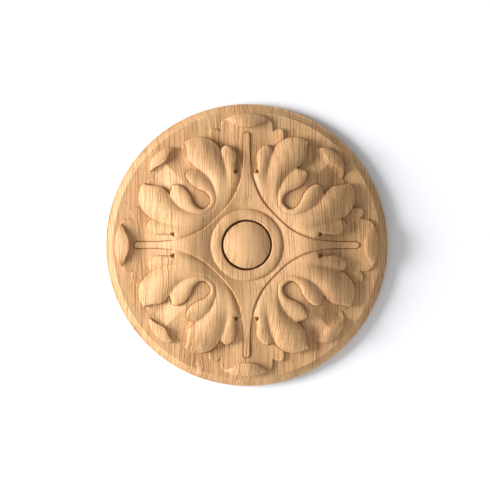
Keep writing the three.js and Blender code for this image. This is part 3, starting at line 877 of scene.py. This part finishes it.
def grain_place(tree, finish):
    """The place in the board, leaned as the growth layers are and drawn in towards the knot."""
    place = node(tree, "ShaderNodeTexCoord").outputs["Object"]
    parts = parted(tree, place)
    knot_x, knot_z = (part * RADIUS for part in KNOT)
    to_knot = node(tree, "ShaderNodeVectorMath", operation="DISTANCE")
    squeezed = combined(tree, "MULTIPLY", parts["Z"], KNOT_SHAPE)
    tree.links.new(joined(tree, X=parts["X"], Z=squeezed), to_knot.inputs[0])
    to_knot.inputs[1].default_value = (knot_x, 0, knot_z * KNOT_SHAPE)
    pull = mapped(tree, to_knot.outputs["Value"], 0, finish.knot_reach, 1.0, 0.0)
    side = combined(tree, "SUBTRACT", parts["X"], knot_x)
    pulled = combined(tree, "MULTIPLY", combined(tree, "MULTIPLY", pull, pull), side)
    waves = combined(tree, "SUBTRACT", stretched_noise(tree, place, WAVES, 1.0), 0.5)
    leaned = combined(tree, "ADD", parts["X"], combined(tree, "MULTIPLY", parts["Y"], finish.lean))
    drifted = combined(tree, "ADD", leaned, combined(tree, "MULTIPLY", waves, finish.wander))
    across = combined(tree, "SUBTRACT", drifted, combined(tree, "MULTIPLY", pulled, KNOT_PULL))
    return joined(tree, X=across, Y=parts["Y"], Z=parts["Z"]), to_knot.outputs["Value"]


def to_and_fro(tree, value):
    """A value that runs from 0 to 0.5 and back for each unit of the given one."""
    turn = node(tree, "ShaderNodeMath", operation="PINGPONG")
    turn.inputs[1].default_value = 0.5
    tree.links.new(value, turn.inputs[0])
    return turn.outputs["Value"]


def growth_lines(tree, place, spacing):
    """Thin lines at uneven distances along X, each dark in some places and faint in others."""
    steps = combined(tree, "MULTIPLY", parted(tree, place)["X"], 1 / spacing)
    drift = combined(tree, "MULTIPLY", stretched_noise(tree, place, LINE_DRIFT, 2.0), 4.0)
    line = mapped(tree, to_and_fro(tree, combined(tree, "ADD", steps, drift)), 0.0, 0.28, 1.0, 0.0)
    strength = mapped(tree, stretched_noise(tree, place, LINE_STRENGTH, 1.0), 0.4, 0.62, FAINTEST_LINE, 1.0)
    return combined(tree, "MULTIPLY", line, strength)


def grain_darkness(tree, finish, place):
    """How dark the growth lines, the streaks and the pores are."""
    lines = combined(tree, "MULTIPLY", growth_lines(tree, place, finish.line_spacing), LINE_DARKNESS)
    streaks = mapped(tree, stretched_noise(tree, place, STREAKS, 1.0), 0.46, 0.66, 0.0, STREAK_DARKNESS)
    pores = mapped(tree, stretched_noise(tree, place, PORES, 0.0), 0.58, 0.75, 0.0, PORE_DARKNESS)
    dark = combined(tree, "ADD", combined(tree, "ADD", lines, streaks), pores)
    off_button = mapped(tree, parted(tree, place)["Y"], *BUTTON_FACE, BUTTON_MARKS, 1.0)
    return combined(tree, "MULTIPLY", dark, off_button)


def knot_rings(tree, finish, place, to_knot):
    """How dark the curling rings round the knot are. They fade outwards, and its middle has none."""
    swirl = combined(tree, "MULTIPLY", stretched_noise(tree, place, KNOT_SWIRL, 1.0), KNOT_SWIRL[0])
    steps = combined(tree, "MULTIPLY", combined(tree, "ADD", to_knot, swirl), 1 / finish.ring_spacing)
    rings = mapped(tree, to_and_fro(tree, steps), 0.15, 0.4, KNOT_RING_DARKNESS, 0.0)
    fading = mapped(tree, to_knot, finish.knot_reach * 0.2, finish.knot_reach * 0.65, 1.0, 0.0)
    outside = mapped(tree, to_knot, finish.knot_radius, finish.knot_edge)
    return combined(tree, "MULTIPLY", combined(tree, "MULTIPLY", fading, outside), rings)


def wood_material(finish):
    """Pale wood, with bands of tone, growth lines, streaks, pores and a small knot."""
    material = bpy.data.materials.new("pale_wood")
    material.use_nodes = True
    tree = material.node_tree
    shader = tree.nodes["Principled BSDF"]
    place, to_knot = grain_place(tree, finish)
    bands = mapped(tree, stretched_noise(tree, place, BANDS, 1.0), 0.35, 0.65, *BAND_TONES)
    tone = combined(tree, "SUBTRACT", bands, grain_darkness(tree, finish, place))
    tone = combined(tree, "SUBTRACT", tone, knot_rings(tree, finish, place, to_knot))
    rosy = mapped(tree, stretched_noise(tree, place, ROSY_BANDS, 1.0), 0.35, 0.65)
    clear = mixed(tree, rosy, finish.light, finish.warm)
    in_knot = mapped(tree, to_knot, finish.knot_radius, finish.knot_edge, 1.0, 0.0)
    clear = mixed(tree, in_knot, clear, finish.knot)
    tree.links.new(mixed(tree, tone, finish.dark, clear), shader.inputs["Base Color"])
    shader.inputs["Roughness"].default_value = finish.roughness
    shader.inputs["Specular IOR Level"].default_value = finish.specular
    bump = node(tree, "ShaderNodeBump", Strength=0.2, Distance=0.0001)
    tree.links.new(tone, bump.inputs["Height"])
    tree.links.new(bump.outputs["Normal"], shader.inputs["Normal"])
    return material


class ROSETTE_OT_carving(bpy.types.Operator):
    """Carve the leaves, the strap, the ring and the button of the rosette from one board"""

    bl_idname = "rosette.carving"
    bl_label = "Carve the rosette"

    def execute(self, context):
        sizes = context.scene.rosette_sizes
        piece = half_leaf(Carving(sizes))
        mirror_to_whole(piece)
        close_back(piece, sizes.edge_rounding)
        uneven(piece, sizes)
        activate(piece)
        bpy.ops.object.shade_smooth_by_angle(angle=SMOOTH_ANGLE)
        piece.data.materials.append(wood_material(context.scene.rosette_wood))
        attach(piece, "root")
        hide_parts("rosette")
        return {"FINISHED"}


def plain_material(name, paint):
    material = bpy.data.materials.new(name)
    material.use_nodes = True
    shader = material.node_tree.nodes["Principled BSDF"]
    shader.inputs["Base Color"].default_value = (*paint, 1)
    shader.inputs["Roughness"].default_value = 0.9
    shader.inputs["Specular IOR Level"].default_value = 0.1
    return material


def one_sided(material):
    """Makes a wall that can be looked through from behind."""
    tree = material.node_tree
    shader = tree.nodes["Principled BSDF"]
    geometry = node(tree, "ShaderNodeNewGeometry")
    clear = node(tree, "ShaderNodeBsdfTransparent")
    mix = node(tree, "ShaderNodeMixShader")
    tree.links.new(geometry.outputs["Backfacing"], mix.inputs[0])
    tree.links.new(shader.outputs["BSDF"], mix.inputs[1])
    tree.links.new(clear.outputs["BSDF"], mix.inputs[2])
    tree.links.new(mix.outputs["Shader"], tree.nodes["Material Output"].inputs["Surface"])


def wall(stage):
    """A pale wall with a hole hidden behind the rosette, so that its back can be seen too."""
    hole = RADIUS * 0.985
    spread = 30
    deselect()
    bpy.ops.mesh.primitive_circle_add(
        vertices=96, radius=hole, fill_type="NOTHING",
        location=(0, HIGHEST.y, 0), rotation=(math.pi / 2, 0, 0),
    )
    piece = bpy.context.object
    piece.name = "wall"
    bpy.ops.object.transform_apply(location=True, rotation=True, scale=True)
    bpy.ops.object.mode_set(mode="EDIT")
    bpy.ops.mesh.select_all(action="SELECT")
    bpy.ops.mesh.extrude_edges_move()
    bpy.ops.transform.resize(value=(spread, 1, spread), center_override=(0, 0, 0))
    bpy.ops.mesh.select_all(action="SELECT")
    bpy.ops.object.mode_set(mode="OBJECT")
    if piece.data.polygons[0].normal.y > 0:
        piece.data.flip_normals()
    material = plain_material("pale_wall", stage.wall)
    one_sided(material)
    piece.data.materials.append(material)


def floor(stage):
    """A pale floor well below the rosette."""
    below = 1.6
    deselect()
    bpy.ops.mesh.primitive_plane_add(size=8, location=(0, 0, -below))
    piece = bpy.context.object
    piece.name = "floor"
    piece.data.materials.append(plain_material("pale_floor", stage.floor))


def key_light(stage):
    """One round soft light, low over the wall from the left."""
    way = Vector((
        math.cos(stage.key_azimuth) * math.cos(stage.key_height),
        -math.sin(stage.key_height),
        math.sin(stage.key_azimuth) * math.cos(stage.key_height),
    ))
    bpy.ops.object.light_add(type="AREA", location=way * stage.key_distance)
    lamp = bpy.context.object
    lamp.name = "key"
    lamp.data.shape = "DISK"
    lamp.data.size = stage.key_size
    lamp.data.energy = stage.key_power
    lamp.rotation_euler = (-way).to_track_quat("-Z", "Y").to_euler()


def camera(stage):
    """Straight in front, with the disc where the photograph has it. Its places there are in pixels."""
    image_size = 490
    disc_radius = 140.9
    disc_right = 246.8 - image_size / 2
    metres_per_pixel = RADIUS / disc_radius
    bpy.ops.object.camera_add(
        location=(-disc_right * metres_per_pixel, -stage.camera_distance, 0), rotation=(math.pi / 2, 0, 0)
    )
    made = bpy.context.object
    made.data.sensor_width = 36
    distance_to_rim = stage.camera_distance - stage.rim_height
    made.data.lens = made.data.sensor_width * distance_to_rim / (image_size * metres_per_pixel)
    bpy.context.scene.camera = made


class ROSETTE_OT_stage(bpy.types.Operator):
    """Set up the pale wall and floor, the soft light from the left and the camera"""

    bl_idname = "rosette.stage"
    bl_label = "Set the stage"

    def execute(self, context):
        stage = context.scene.rosette_stage
        wall(stage)
        floor(stage)
        key_light(stage)
        camera(stage)
        world = bpy.data.worlds.new("studio")
        world.use_nodes = True
        world.node_tree.nodes["Background"].inputs["Color"].default_value = (1, 1, 1, 1)
        world.node_tree.nodes["Background"].inputs["Strength"].default_value = stage.fill
        context.scene.world = world
        context.scene.view_settings.view_transform = "Standard"
        return {"FINISHED"}


class ROSETTE_PT_panel(bpy.types.Panel):
    """The rosette's operators, and the sizes and colours behind them"""

    bl_idname = "ROSETTE_PT_panel"
    bl_label = "Carved rosette"
    bl_space_type = "VIEW_3D"
    bl_region_type = "UI"
    bl_category = "Rosette"

    def draw(self, context):
        scene = context.scene
        self.layout.operator(ROSETTE_OT_carving.bl_idname)
        self.layout.operator(ROSETTE_OT_stage.bl_idname)
        for group in (scene.rosette_sizes, scene.rosette_wood, scene.rosette_stage):
            box = self.layout.box()
            for name in group.__annotations__:
                box.prop(group, name)


CLASSES = (CarvingSizes, WoodFinish, StudioStage, ROSETTE_OT_carving, ROSETTE_OT_stage, ROSETTE_PT_panel)


def register():
    for cls in CLASSES:
        bpy.utils.register_class(cls)
    bpy.types.Scene.rosette_sizes = bpy.props.PointerProperty(type=CarvingSizes)
    bpy.types.Scene.rosette_wood = bpy.props.PointerProperty(type=WoodFinish)
    bpy.types.Scene.rosette_stage = bpy.props.PointerProperty(type=StudioStage)


def unregister():
    del bpy.types.Scene.rosette_stage
    del bpy.types.Scene.rosette_wood
    del bpy.types.Scene.rosette_sizes
    for cls in reversed(CLASSES):
        bpy.utils.unregister_class(cls)


def main():
    register()
    bpy.ops.rosette.stage()
    bpy.ops.rosette.carving()


if __name__ == "__main__":
    main()
